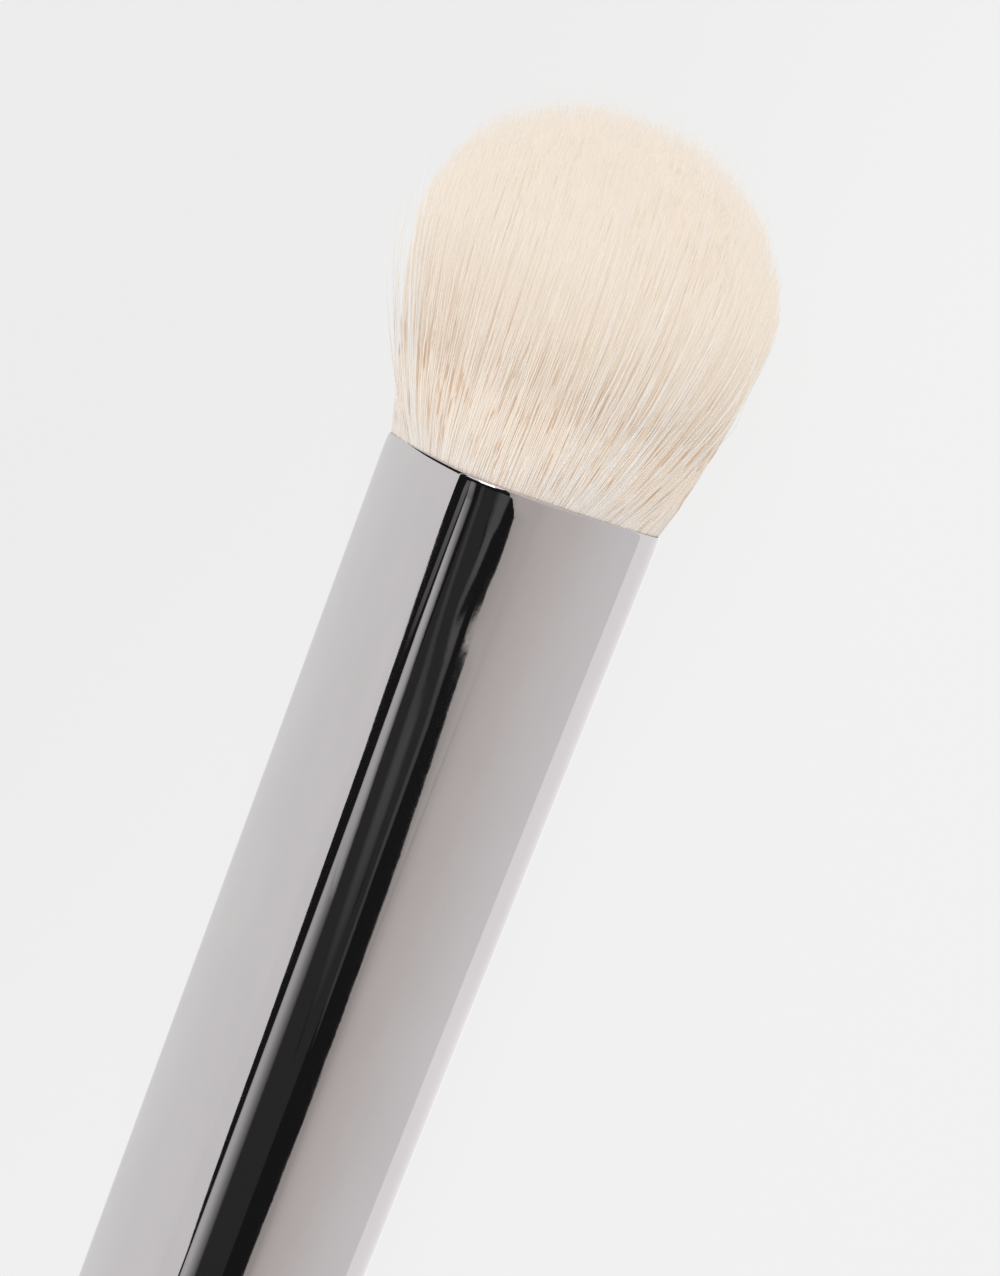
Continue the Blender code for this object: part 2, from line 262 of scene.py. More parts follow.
# Floor, as the metal sees it: distances beside and past the brush, and the light there
NEAR_FLOOR = 0.0123
NEAR_FLOOR_GAIN = 2500
FADE_START = 0.012
FADE_POWER = 0.40
FADE_LIGHT = 0.293
FAR_LIGHT = 0.507
DULL_LIGHT = 0.30
DULL_SLANT = 0.1
DULL_REACH = (0.050, 0.0)
DULL_START = (0.03, 0.30)
PAST_MOUTH = (MOUTH_X + 0.0025, MOUTH_X + 0.065)
BESIDE_MOUTH = (0.002, 0.12)
PAST_MOUTH_LIGHT = 0.02
LEFT_FLOOR_LIGHT = 0.815
WARM_FLOOR_COLOR = (1.0, 0.945, 0.915)
WARM_FLOOR_START = (0.011, 0.05)

# Studio: reflectors over the brush that the metal alone sees, and the light on the bristles
REFLECTOR_HEIGHT = 0.30
GREY_CARD_RISE = 0.002
CARD_LIGHT = 0.80
GREY_CARD_LIGHT = 0.030
DARK_LIGHT = 0.012
WARM_WALL_COLOR = (1.0, 0.95, 0.915)
REAR_LIGHT = 0.55
REAR_START = (-0.60, -0.30)
BACKDROP_COLOR = (0.86, 0.86, 0.86)
SOFT_LIGHT = 0.62
SOFT_FROM_ABOVE = 0.38
SOFT_FROM_LEFT = 0.06
KEY_POWER = 0.9
KEY_SIZE = 0.35
KEY_PLACE = (0.44, 0.08, 0.40)
KEY_AIM = (MOUTH_X, 0, 0.005)


def deselect_all():
    """Leave nothing selected."""
    for obj in bpy.context.selected_objects:
        obj.select_set(False)


def arc(center, radius, start, end, steps):
    """Points of an arc in the YZ plane, both ends included."""
    angles = np.linspace(start, end, steps + 1)
    return [(center[0] + radius * math.cos(a), center[1] + radius * math.sin(a)) for a in angles]


def corner_centers(x):
    """Centres of the base corner and of the ridge corner on the +Y side at station x."""
    share = (x - BUTT_X) / (MOUTH_X - BUTT_X)
    width = BUTT_WIDTH + (MOUTH_WIDTH - BUTT_WIDTH) * share
    height = BUTT_HEIGHT + (MOUTH_HEIGHT - BUTT_HEIGHT) * share
    base = Vector((width / 2 - BASE_CORNER_RADIUS, BASE_CORNER_RADIUS))
    ridge = Vector((0.0, height - RIDGE_CORNER_RADIUS))
    return base, ridge


def face_center(base, ridge):
    """Centre of the shallow arc that runs smoothly into both corner arcs."""
    span = (ridge - base).length
    to_base = FACE_RADIUS - BASE_CORNER_RADIUS
    to_ridge = FACE_RADIUS - RIDGE_CORNER_RADIUS
    along = (to_base**2 - to_ridge**2 + span**2) / (2 * span)
    inward = math.sqrt(to_base**2 - along**2)
    direction = (ridge - base) / span
    outward = Vector((direction.y, -direction.x))
    return base + direction * along - outward * inward


def section(x, inset=0.0):
    """Outline of the handle at station x, moved inwards by inset, as an array of (y, z)."""
    base, ridge = corner_centers(x)
    middle = face_center(base, ridge)
    at_base = math.atan2(base.y - middle.y, base.x - middle.x)
    at_ridge = math.atan2(ridge.y - middle.y, ridge.x - middle.x)
    half = arc(base, BASE_CORNER_RADIUS - inset, -math.pi / 2, at_base, CORNER_STEPS)
    half += arc(middle, FACE_RADIUS - inset, at_base, at_ridge, FACE_STEPS)[1:]
    half += arc(ridge, RIDGE_CORNER_RADIUS - inset, at_ridge, math.pi / 2, CORNER_STEPS // 2)[1:]
    return np.array(half + [(-y, z) for y, z in reversed(half[:-1])])


def rolled_section(x, inset, ridge_inset):
    """Outline at station x, moved inwards by inset and by ridge_inset more at the ridge."""
    outer = section(x)
    inner = section(x, INWARD_STEP)
    near_ridge = np.clip(1 - np.abs(outer[:, :1]) / ROLL_REACH, 0, 1)
    return outer + (inner - outer) * (inset + ridge_inset * near_ridge) / INWARD_STEP


def section_middle(x):
    """Middle of the handle's three corner centres at station x."""
    base, ridge = corner_centers(x)
    return np.array((0.0, (2 * base.y + ridge.y) / 3))


def place_ring(piece, order, ring):
    """Put the ring of vertices that order lists at the ring's (x, y, z) points."""
    for index, point in zip(order, ring):
        piece.data.vertices[index].co = point


def at_station(x, outline):
    """Points of an outline at station x. The mouth's plane leans forward at the ridge."""
    near_mouth = max(0.0, 1 - (MOUTH_X - x) / (2 * LIP_LENGTH))
    return [(x + MOUTH_SLANT * near_mouth * z / MOUTH_HEIGHT, y, z) for y, z in outline]


def add_object(name, data):
    """A new object in the scene."""
    fresh = bpy.data.objects.new(name, data)
    bpy.context.scene.collection.objects.link(fresh)
    return fresh


def mark_vertices(mesh, name, values):
    """Give a mesh's vertices their values of an attribute that materials read."""
    attribute = mesh.attributes.new(name, "FLOAT", "POINT")
    attribute.data.foreach_set("value", np.array(values, dtype=np.float32))


def loft(name, rings, joined=False):
    """A ring of vertices extruded from ring to ring, its ends filled or joined to each other."""
    deselect_all()
    count = len(rings[0])
    bpy.ops.mesh.primitive_circle_add(vertices=count, radius=MOUTH_WIDTH / 2)
    piece = bpy.context.active_object
    piece.name = name
    order = list(range(count))
    place_ring(piece, order, rings[0])
    for ring in rings[1:]:
        bpy.ops.object.mode_set(mode="EDIT")
        bpy.ops.mesh.extrude_region_move()
        bpy.ops.object.mode_set(mode="OBJECT")
        fresh = {v.co.copy().freeze(): v.index for v in piece.data.vertices if v.select}
        order = [fresh[piece.data.vertices[index].co.copy().freeze()] for index in order]
        place_ring(piece, order, ring)
    bpy.ops.object.mode_set(mode="EDIT")
    bpy.ops.mesh.select_all(action="DESELECT")
    bpy.ops.mesh.select_non_manifold()
    if joined:
        bpy.ops.mesh.bridge_edge_loops()
    else:
        bpy.ops.mesh.edge_face_add()
    bpy.ops.mesh.select_all(action="SELECT")
    bpy.ops.mesh.normals_make_consistent(inside=False)
    bpy.ops.object.mode_set(mode="OBJECT")
    return piece


def select_alone(piece):
    """Select one piece and make it the active one."""
    deselect_all()
    bpy.context.view_layer.objects.active = piece
    piece.select_set(True)


def shade(piece, angle=CRISP_ANGLE):
    """Shade smooth, with edges sharper than the angle kept crisp."""
    select_alone(piece)
    bpy.ops.object.shade_smooth_by_angle(angle=angle)


def finish_piece(piece, material, node):
    """Give a piece its material and body, and hide the solid that it stands for."""
    piece.data.materials.append(material)
    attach(piece, "root")
    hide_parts(node)


def lip_lean(x):
    """How far the lip leans in at station x."""
    return LIP_INSET * (1 - (MOUTH_X - x) / LIP_LENGTH) ** 2


def make_shell(metal):
    """Polished one-piece handle, with a lip that leans in and rolls over at the mouth."""
    stations = np.linspace(SHELL_REAR_X, MOUTH_X - 2 * LIP_LENGTH, SHELL_STATIONS)
    rings = [at_station(x, section(x)) for x in stations]
    lip_end = MOUTH_X - ROLL_LENGTH
    stations = np.linspace(MOUTH_X - LIP_LENGTH, lip_end, LIP_STEPS)
    rings += [at_station(x, section(x, lip_lean(x))) for x in stations]
    for step in range(1, ROLL_STEPS + 1):
        turn = math.pi / 2 * step / ROLL_STEPS
        x = lip_end + ROLL_LENGTH * math.sin(turn)
        sunk = 1 - math.cos(turn)
        rolled = rolled_section(x, lip_lean(x) + ROLL_INSET * sunk, RIDGE_ROLL_INSET * sunk)
        rings.append(at_station(x, rolled))
    rings.append(at_station(MOUTH_X, rolled_section(MOUTH_X, MOUTH_WALL, RIDGE_ROLL_INSET)))
    rings += [at_station(x, section(x, SHELL_WALL)) for x in (MOUTH_X - FLARE_LENGTH, SHELL_REAR_X)]
    shell = loft("handle_shell_polished", rings, joined=True)
    shade(shell)
    finish_piece(shell, metal, "handle_shell")


def make_end_cap(metal):
    """Cap that carries on the handle's taper, with the spigot that sits in the handle."""
    flange_front = BUTT_X + CAP_THICKNESS
    rings = [at_station(x, section(x)) for x in (BUTT_X, flange_front)]
    rings += [at_station(x, section(x, SPIGOT_INSET)) for x in (flange_front, SPIGOT_FRONT_X)]
    cap = loft("end_cap_polished", rings)
    bevel = cap.modifiers.new("bevel", "BEVEL")
    bevel.width = CAP_ROUNDING
    bevel.segments = CAP_ROUNDING_STEPS
    bevel.limit_method = "ANGLE"
    bevel.angle_limit = CAP_ROUNDING_ANGLE
    select_alone(cap)
    bpy.ops.object.modifier_apply(modifier=bevel.name)
    shade(cap)
    finish_piece(cap, metal, "end_cap")


def make_backing(resin):
    """Slice of cured resin that holds the bristles' roots."""
    stations = (BACKING_REAR_X, BACKING_FRONT_X)
    backing = loft("bristle_backing", [at_station(x, section(x, BACKING_INSET)) for x in stations])
    shade(backing)
    finish_piece(backing, resin, "bristle_tuft")


def directions(angles):
    """Unit (y, z) in each direction round the axis."""
    return np.stack([np.cos(angles), np.sin(angles)], axis=1)


def outline_reach(outline, middle, angles):
    """Distance from the middle to an outline in each direction."""
    following = np.roll(outline, -1, axis=0)
    shares = np.linspace(0, 1, OUTLINE_PARTS, endpoint=False)[None, :, None]
    finer = outline[:, None, :] * (1 - shares) + following[:, None, :] * shares
    corners = finer.reshape(-1, 2) - middle
    around = np.arctan2(corners[:, 1], corners[:, 0])
    order = np.argsort(around)
    return np.interp(angles, around[order], np.hypot(*corners[order].T), period=2 * math.pi)


def mouth_reach(angles, clearance):
    """Distance from the middle of the mouth to the inside of its wall, less a clearance."""
    outline = rolled_section(MOUTH_X, MOUTH_WALL + clearance, RIDGE_ROLL_INSET)
    return outline_reach(outline, section_middle(MOUTH_X), angles)


def dome_reach(angles):
    """Half size of the tuft's widest section in each direction."""
    return 1 / np.hypot(np.cos(angles) / (TUFT_WIDTH / 2), np.sin(angles) / (TUFT_DEPTH / 2))


def dome_length(spread):
    """Length past the mouth of a bristle at this share of the widest section."""
    rise = (1 - spread**DOME_POWER) ** (1 / DOME_POWER)
    return BELLY_LENGTH + (TUFT_LENGTH - BELLY_LENGTH) * rise


def swell(travel):
    """How far the tuft has swollen at each distance past the mouth, from 0 to 1."""
    return 1 - (1 - np.clip(travel / SWELL_LENGTH, 0, 1)) ** SWELL_POWER


def tuft_middle(travel):
    """Middle of the tuft at each distance past the mouth, as (y, z)."""
    mouth_z = section_middle(MOUTH_X)[1]
    dome_z = TUFT_FLOOR_GAP + TUFT_DEPTH / 2
    bow = -BOW * np.sin(np.clip(travel, 0, TUFT_LENGTH) / BOW_LENGTH * math.pi)
    return bow, mouth_z + (dome_z - mouth_z) * swell(travel)


def root_reach(angles, clearance):
    """Distance from the middle of the backing's front to its edge, less a clearance."""
    outline = section(BACKING_FRONT_X, BACKING_INSET + clearance)
    return outline_reach(outline, section_middle(BACKING_FRONT_X), angles)


def make_core(fibre):
    """Close-packed middle of the tuft, just under the bristles that show."""
    angles = np.linspace(-math.pi / 2, 1.5 * math.pi, CORE_SIDES + 1)[:-1]
    ray = directions(angles)
    mouth = mouth_reach(angles, CORE_DEPTH / 2)
    root = root_reach(angles, 0)
    rings = []
    for share in CORE_ROOT_SHARES:
        outline = section_middle(BACKING_FRONT_X) + ray * (root * share)[:, None]
        rings.append([(BACKING_FRONT_X, y, z) for y, z in outline])
    narrowing = np.linspace(CORE_SHARE, CORE_TIP_SHARE, CORE_DOME_RINGS)
    shares = np.concatenate([np.full(CORE_SIDE_RINGS, CORE_SHARE), narrowing])
    side = np.linspace(0, BELLY_LENGTH - CORE_DEPTH, CORE_SIDE_RINGS + 1)[:-1]
    dome = dome_length(narrowing / CORE_SHARE * CORE_DOME_SHARE) - CORE_DEPTH
    for travel, share in zip(np.concatenate([side, dome]), shares):
        reach = share * (mouth + (dome_reach(angles) - mouth) * swell(travel))
        outline = np.array(tuft_middle(travel)) + ray * reach[:, None]
        rings.append([(MOUTH_X + travel, y, z) for y, z in outline])
    core = loft("bristle_core", rings)
    shade(core, CORE_CRISP_ANGLE)
    finish_piece(core, fibre, "bristle_tuft")


def lumps(spots, size, seed):
    """Smooth random values, mostly from -1 to 1, that change over a given size."""
    random = np.random.default_rng(seed)
    total = np.zeros(len(spots))
    for _ in range(LOCK_WAVES):
        direction = random.uniform(0, 2 * math.pi)
        wave = 2 * math.pi / (size * random.uniform(*LOCK_WAVE_RANGE))
        shift = random.uniform(0, 2 * math.pi)
        place = spots[:, 0] * math.cos(direction) + spots[:, 1] * math.sin(direction)
        total += np.sin(wave * place + shift)
    return total / LOCK_WAVE_HEIGHT


def bristle_spots(random):
    """Places, angles and shares of the bristles in the mouth: a jittered grid up to the wall."""
    row_step = BRISTLE_PITCH * math.sqrt(3) / 2
    half_rows = math.ceil(MOUTH_HEIGHT / row_step)
    half_columns = math.ceil(MOUTH_WIDTH / BRISTLE_PITCH)
    rows = np.arange(-half_rows, half_rows + 1)
    columns = np.arange(-half_columns, half_columns + 1)
    row, column = [a.ravel() for a in np.meshgrid(rows, columns, indexing="ij")]
    spots = np.stack([(column + 0.5 * (row % 2)) * BRISTLE_PITCH, row * row_step], axis=1)
    spots += random.uniform(-BRISTLE_JITTER, BRISTLE_JITTER, spots.shape) * BRISTLE_PITCH
    angles = np.arctan2(spots[:, 1], spots[:, 0])
    share = np.hypot(*spots.T) / mouth_reach(angles, RIM_GAP + BRISTLE_RADIUS)
    keep = share < 1
    return spots[keep], angles[keep], share[keep]


def bristle_routes(angles, share, length, sway, tilt, lift, spread, random):
    """Points of every bristle from root to tip, as an array of bristles by points by (x, y, z)."""
    mouth = mouth_reach(angles, RIM_GAP + BRISTLE_RADIUS)
    root = root_reach(angles, BRISTLE_RADIUS * 2)
    ray = directions(angles)
    points = np.zeros((len(share), BRISTLE_PARTS + 2, 3))
    points[:, 0, 0] = BACKING_FRONT_X - ROOT_DEPTH
    points[:, 0, 1:] = section_middle(BACKING_FRONT_X) + ray * (share * root)[:, None]
    for part in range(BRISTLE_PARTS + 1):
        along = part / BRISTLE_PARTS
        travel = length * along
        reach = share * (mouth + (dome_reach(angles) - mouth) * swell(travel)) + lift * along
        reach += OVERHANG * share**OVERHANG_POWER * (1 - np.exp(-travel / OVERHANG_LENGTH))
        middle = np.stack(tuft_middle(travel), axis=1)
        bend = math.sin(math.pi * min(1.0, along * SWAY_PACE))
        waver = random.normal(0, spread * min(1.0, WAVER_PACE * along), (len(share), 2))
        bent = middle + ray * reach[:, None] + sway * bend
        points[:, part + 1, 0] = MOUTH_X + travel
        points[:, part + 1, 1:] = bent + tilt * travel[:, None] + waver
    points[:, 1:, 2] = np.maximum(points[:, 1:, 2], FLOOR_CLEARANCE + BRISTLE_RADIUS)
    return points


def bristle_pattern():
    """One bristle as a template: a three-sided rod cut across at its bends, open at its root.

    Returns the share along it and the angle of each vertex, its faces, and each corner's place
    on a flat layout.
    """
    deselect_all()
    bpy.ops.mesh.primitive_cylinder_add(vertices=BRISTLE_SIDES, radius=1, depth=1, end_fill_type="NGON")
    rod = bpy.context.active_object
    bpy.ops.object.mode_set(mode="EDIT")
    for cut in range(1, BRISTLE_PARTS + 1):
        bpy.ops.mesh.select_all(action="SELECT")
        bpy.ops.mesh.bisect(plane_co=(0, 0, cut / (BRISTLE_PARTS + 1) - 0.5), plane_no=(0, 0, 1))
    bpy.ops.object.mode_set(mode="OBJECT")
    along = np.array([v.co.z + 0.5 for v in rod.data.vertices])
    around = np.array([math.atan2(v.co.y, v.co.x) for v in rod.data.vertices])
    side_angle = 2 * math.pi / BRISTLE_SIDES
    faces, layout = [], []
    for face in rod.data.polygons:
        facing_end = round(face.normal.z)
        if facing_end < 0:
            continue
        corners = list(face.vertices)
        faces.append(corners)
        facing = math.atan2(face.center.y, face.center.x)
        column = int((facing + math.pi) / side_angle) % BRISTLE_SIDES
        for corner in corners:
            turn = (around[corner] - facing + math.pi) % (2 * math.pi) - math.pi
            across = turn / side_angle + 0.5
            if facing_end:
                layout.append((TIP_SPOT[0] + TIP_SIZE * math.cos(around[corner]),
                               TIP_SPOT[1] + TIP_SIZE * math.sin(around[corner])))
            else:
                layout.append(((column + SIDE_MARGIN + SIDE_WIDTH * across) / BRISTLE_SIDES,
                               SIDE_START + SIDE_LENGTH * along[corner]))
    rod_mesh = rod.data
    bpy.data.objects.remove(rod)
    bpy.data.meshes.remove(rod_mesh)
    return along, around, faces, np.array(layout)


def copy_bristles(name, routes, radii, tones, random):
    """One mesh of copies of the bristle, each bent along its route."""
    along, around, faces, layout = bristle_pattern()
    count, per = len(routes), len(along)
    step = np.rint(along * (BRISTLE_PARTS + 1)).astype(int)
    turn = random.uniform(0, 2 * math.pi, count)[:, None] + around[None, :]
    points = routes[:, step, :]
    size = radii[:, step]
    points[:, :, 1] += size * np.cos(turn)
    points[:, :, 2] += size * np.sin(turn)
    loops = np.array([v for f in faces for v in f])
    sizes = np.array([len(f) for f in faces])
    mesh = bpy.data.meshes.new(name)
    mesh.vertices.add(count * per)
    mesh.vertices.foreach_set("co", points.astype(np.float32).ravel())
    mesh.loops.add(count * len(loops))
    all_loops = (loops[None, :] + np.arange(count)[:, None] * per).ravel()
    mesh.loops.foreach_set("vertex_index", all_loops.astype(np.int32))
    mesh.polygons.add(count * len(sizes))
    all_sizes = np.tile(sizes, count)
    starts = np.concatenate([[0], np.cumsum(all_sizes)[:-1]])
    mesh.polygons.foreach_set("loop_start", starts.astype(np.int32))
    mesh.update(calc_edges=True)
    cells = math.ceil(math.sqrt(count))
    cell = np.stack([np.arange(count) % cells, np.arange(count) // cells], axis=1)
    places = (cell[:, None, :] + layout[None, :, :]) / cells
    uv = mesh.uv_layers.new(name="OFBake")
    uv.data.foreach_set("uv", places.astype(np.float32).ravel())
    mesh.shade_smooth()
    mark_vertices(mesh, "bristle_tone", np.repeat(tones, per))
    mark_vertices(mesh, "bristle_reach", np.tile(along, count))
    return add_object(name, mesh)


def bristle_radii(count, random):
    """Radius of each bristle at each of its points, tapering to the tip."""
    thickness = np.array(BRISTLE_THICKNESS) * (BRISTLE_RADIUS - BRISTLE_TIP_RADIUS) + BRISTLE_TIP_RADIUS
    return thickness[None, :] * random.uniform(*RADIUS_RANGE, count)[:, None]


def make_bristles(fibre):
    """The whole tuft, in pieces by their place round the axis."""
    random = np.random.default_rng(BRISTLE_SEED)
    spots, angles, share = bristle_spots(random)
    count = len(share)
    length = dome_length(share * DOME_EDGE_SHARE) - TIP_ALLOWANCE
    length *= 1 + random.normal(0, LENGTH_CHANGE, count)
    short = random.random(count) < SHORT_SHARE
    length[short] *= random.uniform(*SHORT_RANGE, short.sum())
    fringe = np.random.default_rng(FRINGE_SEED)
    long = fringe.random(count) < FRINGE_SHARE
    length[long] *= fringe.uniform(*FRINGE_RANGE, long.sum())
    sway = np.zeros((count, 2))
    for amount, size, seed in LOCKS:
        sway += amount * np.stack([lumps(spots, size, seed), lumps(spots, size, seed + 1)], axis=1)
    on_right = np.clip(-np.cos(angles) * RIGHT_SWAY_PACE - RIGHT_SWAY_START, 0, 1)
    sway *= (1 + RIGHT_SWAY * on_right)[:, None]
    tilt = random.normal(0, TILT_CHANGE, (count, 2))
    ray = directions(angles)
    outward = np.maximum((tilt * ray).sum(axis=1), 0)
    tilt -= ray * (outward * share**TILT_POWER * TILT_HELD_IN)[:, None]
    routes = bristle_routes(angles, share, length, sway, tilt, np.zeros(count), BRISTLE_WAVER, random)
    radii = bristle_radii(count, random)
    tones = random.random(count)
    quarter = np.floor(((angles + math.pi / 4) % (2 * math.pi)) / (math.pi / 2)).astype(int)
    inner = share < INNER_SHARE
    for number, side in enumerate(("left", "top", "right", "under")):
        for depth, there in (("inner", inner), ("outer", ~inner)):
            name = "bristles_" + depth + "_" + side
            chosen = there & (quarter == number)
            piece = copy_bristles(name, routes[chosen], radii[chosen], tones[chosen], random)
            finish_piece(piece, fibre, "bristle_tuft")


def make_strays(fibre):
    """Loose bristles: some cross the others on the right, and some stand off on both sides."""
    random = np.random.default_rng(STRAY_SEED)
    groups = (
        # bristles, first and last angle round the axis, shortest and longest, least and most lean,
        # lift, thickness
        (26, 112, 150, 0.0050, 0.0115, -0.04, 0.20, 0.00018, 0.8),
        (16, 2, 34, 0.0070, 0.0115, -0.03, 0.03, 0.00115, 0.85),
        (14, 140, 178, 0.0060, 0.0105, -0.03, 0.03, 0.00080, 0.7),
    )
    strays = []
    for bristles, first, last, shortest, longest, least, most, raised, thick in groups:
        around = np.radians(random.uniform(first, last, bristles))
        share = random.uniform(*STRAY_SHARE_RANGE, bristles)
        length = random.uniform(shortest, longest, bristles)
        tilt = directions(around + math.pi / 2) * random.uniform(least, most, bristles)[:, None]
        lift = random.uniform(*STRAY_LIFT_RANGE, bristles) * raised
        strays.append((around, share, length, tilt, lift, np.full(bristles, thick)))
    angles, share, length, tilt, lift, thickness = [np.concatenate(part) for part in zip(*strays)]
    still = np.zeros((len(angles), 2))
    routes = bristle_routes(angles, share, length, still, tilt, lift, STRAY_WAVER, random)
    routes[:, :, 1] = np.clip(routes[:, :, 1], -STRAY_REACH, STRAY_REACH)
    routes[:, :, 2] = np.minimum(routes[:, :, 2], STRAY_TOP)
    radii = bristle_radii(len(angles), random) * thickness[:, None]
    tones = random.uniform(*STRAY_TONE_RANGE, len(angles))
    piece = copy_bristles("bristles_stray", routes, radii, tones, random)
    finish_piece(piece, fibre, "bristle_tuft")


class Nodes:
    """Short ways to add nodes to a tree. Most give back the new node's output."""

    def __init__(self, tree):
        self.tree = tree

    def feed(self, socket, value):
        """Link a socket to another one, or set it to a number or a colour."""
        if isinstance(value, (int, float)):
            socket.default_value = value
        elif isinstance(value, tuple):
            socket.default_value = (*value, 1)
        else:
            self.tree.links.new(value, socket)

    def fill(self, node, values):
        """Feed a node's sockets by name or number."""
        for key, value in dict(values).items():
            self.feed(node.inputs[key], value)

    def add(self, kind, values=(), **settings):
        """A new node with its settings and its sockets' values."""
        node = self.tree.nodes.new(kind)
        for key, setting in settings.items():
            setattr(node, key, setting)
        self.fill(node, values)
        return node

    def attribute(self, name):
        return self.add("ShaderNodeAttribute", attribute_name=name).outputs["Fac"]

    def noise(self, vector, scale, detail):
        values = {"Vector": vector, "Scale": scale, "Detail": detail}
        return self.add("ShaderNodeTexNoise", values).outputs["Fac"]

    def split(self, vector):
        return self.add("ShaderNodeSeparateXYZ", {0: vector}).outputs

    def spread(self, value, start, end, low, high, course="LINEAR"):
        """From low to high while a value goes from start to end."""
        values = {"Value": value, "From Min": start, "From Max": end, "To Min": low, "To Max": high}
        return self.add("ShaderNodeMapRange", values, interpolation_type=course).outputs["Result"]

    def calculate(self, operation, *values):
        return self.add("ShaderNodeMath", enumerate(values), operation=operation).outputs[0]

    def times(self, first, second):
        return self.calculate("MULTIPLY", first, second)

    def between(self, low, high, share):
        """From low to high by a share."""
        return self.calculate("MULTIPLY_ADD", share, self.calculate("SUBTRACT", high, low), low)

    def mix(self, factor, first, second, blend="MIX"):
        values = {0: factor, 6: first, 7: second}
        return self.add("ShaderNodeMix", values, data_type="RGBA", blend_type=blend).outputs[2]

    def light(self, kind, color, strength):
        """An Emission or Background shader."""
        return self.add(kind, {"Color": color, "Strength": strength}).outputs[0]

    def join(self, factor, first, second):
        """Two shaders in one: the second by a share, the first for the rest."""
        return self.add("ShaderNodeMixShader", enumerate((factor, first, second))).outputs[0]

    def seen_by(self, camera, metal, others):
        """One shader for what the camera, the metal and all others each see."""
        rays = self.add("ShaderNodeLightPath").outputs
        others = self.join(rays["Is Glossy Ray"], others, metal)
        return self.join(rays["Is Camera Ray"], others, camera)


def new_material(name):
    """A material, the ways to add nodes to it, and its Principled shader."""
    material = bpy.data.materials.new(name)
    material.use_nodes = True
    return material, Nodes(material.node_tree), material.node_tree.nodes["Principled BSDF"]


def bare_nodes(owner):
    """Ways to add nodes to a material or world that has none yet."""
    owner.use_nodes = True
    owner.node_tree.nodes.clear()
    return Nodes(owner.node_tree)


def make_wear_group():
    """Shared node group: mottling of a colour, with a roughness and a bump height to match."""
    group = bpy.data.node_groups.new("surface_wear", "ShaderNodeTree")
    inputs = ("Mottling", "Roughness", "Roughness Change", "Grain Size", "Stretch")
    for side, names in (("INPUT", inputs), ("OUTPUT", ("Roughness", "Height"))):
        group.interface.new_socket("Color", in_out=side, socket_type="NodeSocketColor")
        for name in names:
            group.interface.new_socket(name, in_out=side, socket_type="NodeSocketFloat")
    tools = Nodes(group)
    given = tools.add("NodeGroupInput").outputs
    out = tools.add("NodeGroupOutput")
    place = tools.add("ShaderNodeTexCoord").outputs["Object"]
    squeeze = tools.add("ShaderNodeCombineXYZ", {"X": given["Stretch"], "Y": 1, "Z": 1}).outputs[0]
    place = tools.add("ShaderNodeMapping", {"Vector": place, "Scale": squeeze}).outputs["Vector"]
    scale = tools.calculate("DIVIDE", 1, given["Grain Size"])
    grain = tools.noise(place, scale, 3.0)
    broad = tools.noise(place, tools.times(scale, BROAD_SCALE), 1.0)
    mottle = tools.times(tools.spread(broad, *NOISE_RANGE, -1.0, 1.0), given["Mottling"])
    fine = tools.times(tools.spread(grain, *NOISE_RANGE, -FINE_SHARE, FINE_SHARE), given["Mottling"])
    level = tools.calculate("ADD", 1, tools.calculate("ADD", mottle, fine))
    rougher = tools.times(tools.spread(grain, *NOISE_RANGE, -1.0, 1.0), given["Roughness Change"])
    tools.fill(out, {"Color": tools.mix(1.0, given["Color"], level, "MULTIPLY"),
                     "Roughness": tools.calculate("ADD", given["Roughness"], rougher), "Height": grain})
    return group


def worn_material(name, wear):
    """A material whose colour, roughness and bump come from the shared wear group."""
    color, mottling, roughness, change, grain_size, stretch, bump_height, metallic = FINISHES[name]
    material, tools, shader = new_material(name)
    values = {"Color": color, "Mottling": mottling, "Roughness": roughness, "Roughness Change": change,
              "Grain Size": grain_size, "Stretch": stretch}
    worn = tools.add("ShaderNodeGroup", values, node_tree=wear).outputs
    bump = tools.add("ShaderNodeBump", {"Strength": 1.0, "Distance": bump_height, "Height": worn["Height"]})
    tools.fill(shader, {"Base Color": worn["Color"], "Roughness": worn["Roughness"],
                        "Normal": bump.outputs["Normal"], "Metallic": metallic})
    return material


